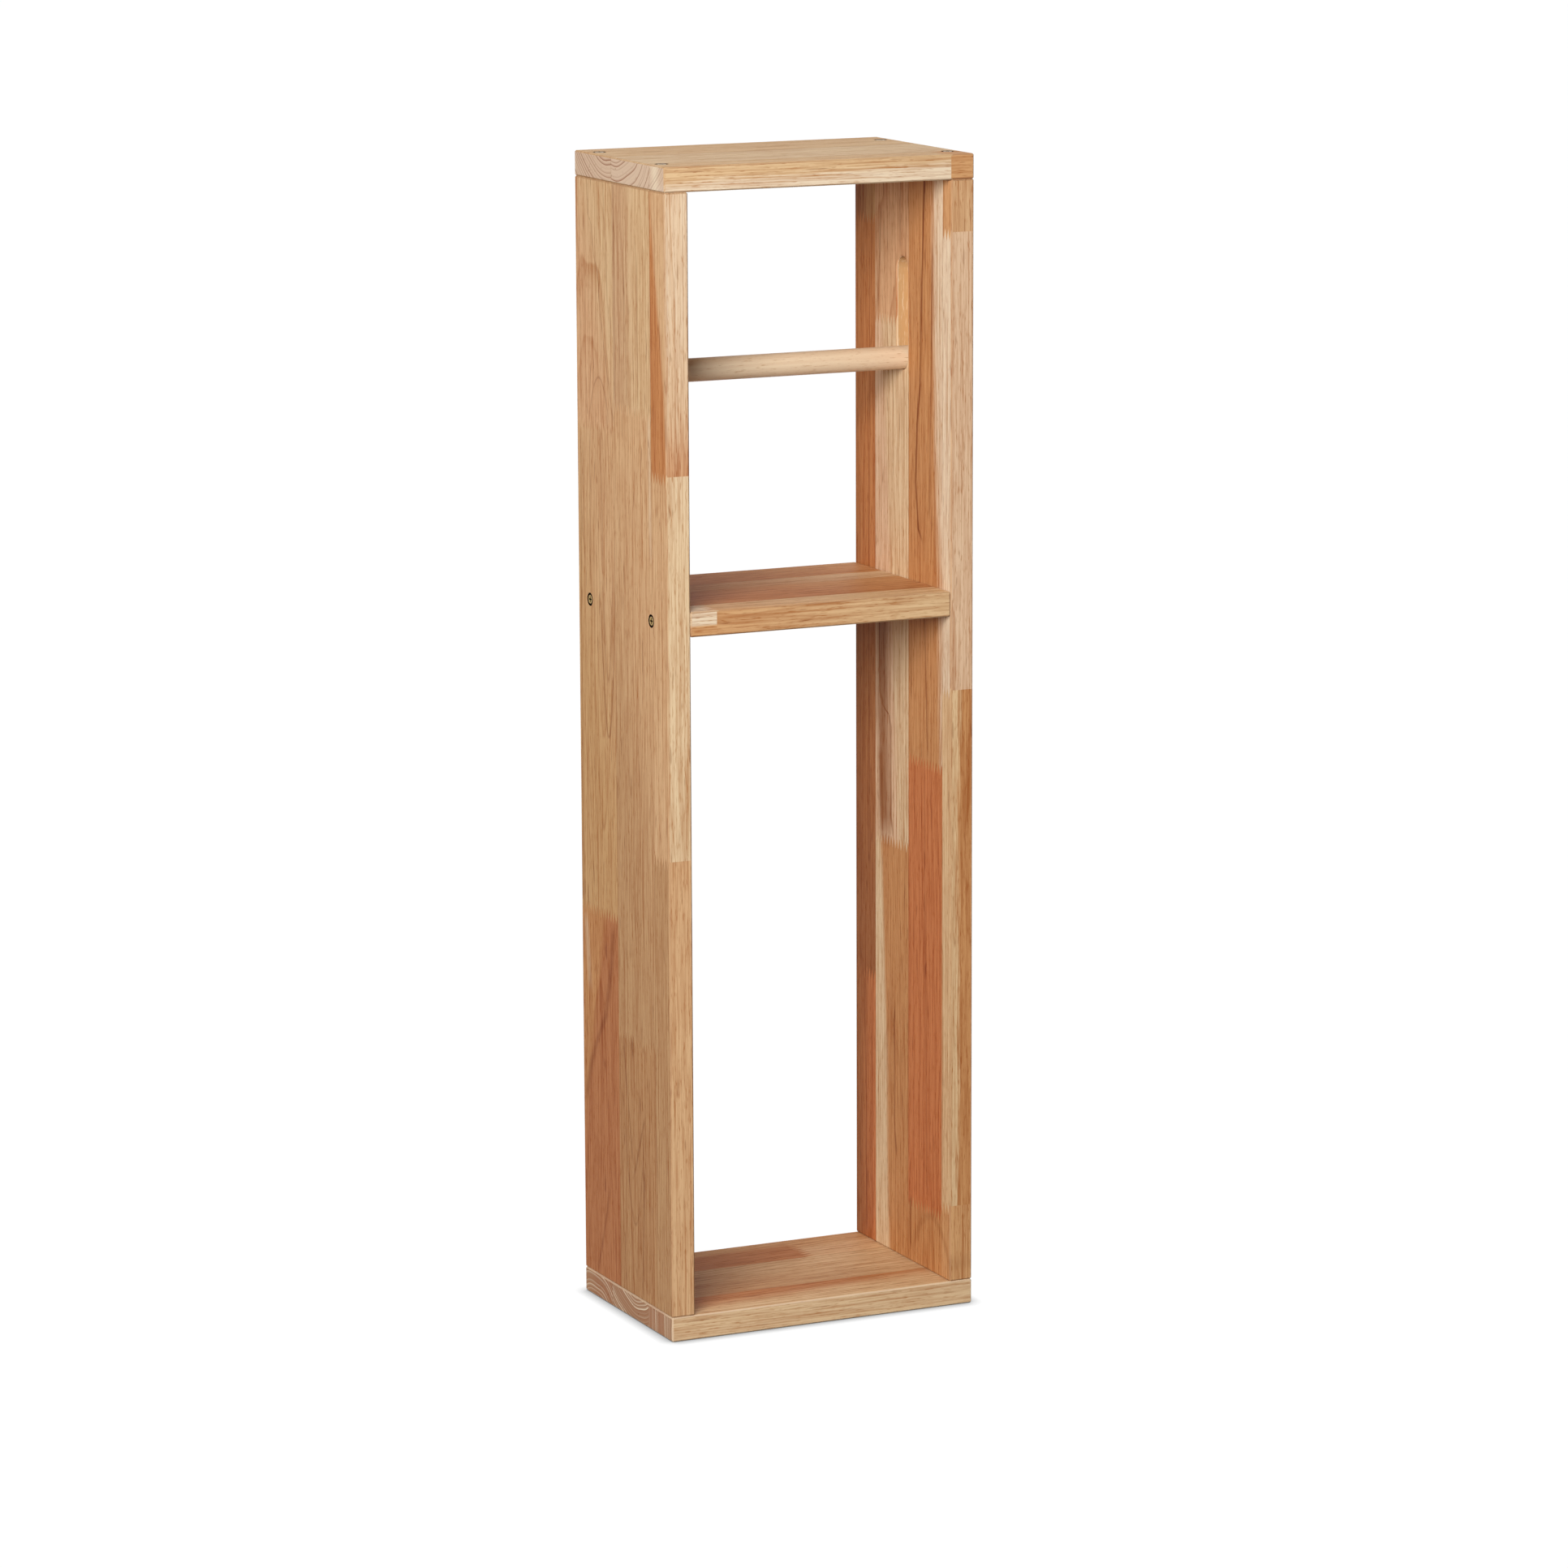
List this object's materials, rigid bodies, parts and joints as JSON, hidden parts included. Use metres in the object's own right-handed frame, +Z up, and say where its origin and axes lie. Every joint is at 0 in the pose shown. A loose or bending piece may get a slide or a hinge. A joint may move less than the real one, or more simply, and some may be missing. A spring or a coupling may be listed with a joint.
{
  "type": "toilet roll stand",
  "caption": "Tall narrow open-fronted wooden stand: a lift-out rod carries a toilet roll above a shelf, with open space below for spare rolls.",
  "frame": {"origin": "middle of the footprint, on the floor under the bottom board", "axes": "+Z up, +X to the right and +Y to the back, seen from the front"},
  "size_m": [0.2, 0.13, 0.7],
  "materials": {
    "board_wood": "finger-jointed hardwood board, planed and oiled, satin",
    "rod_wood": "turned hardwood rod, sanded, satin",
    "screw_brass": "yellow passivated screw, satin"
  },
  "bodies": {
    "stand": {"top_board": "board_wood", "bottom_board": "board_wood", "left_side_panel": "board_wood", "right_side_panel": "board_wood", "middle_shelf": "board_wood", "top_screw_left_front": "screw_brass", "top_screw_left_back": "screw_brass", "top_screw_right_front": "screw_brass", "top_screw_right_back": "screw_brass", "bottom_screw_left_front": "screw_brass", "bottom_screw_left_back": "screw_brass", "bottom_screw_right_front": "screw_brass", "bottom_screw_right_back": "screw_brass", "shelf_screw_left_front": "screw_brass", "shelf_screw_left_back": "screw_brass", "shelf_screw_right_front": "screw_brass", "shelf_screw_right_back": "screw_brass"},
    "rod": {"roll_rod": "rod_wood"}
  },
  "joints": [
    {"name": "rod_lift", "type": "slide", "parent": "stand", "child": "rod", "axis": [0, 0, 1], "range_m": [0, 0.0534]}
  ]
}
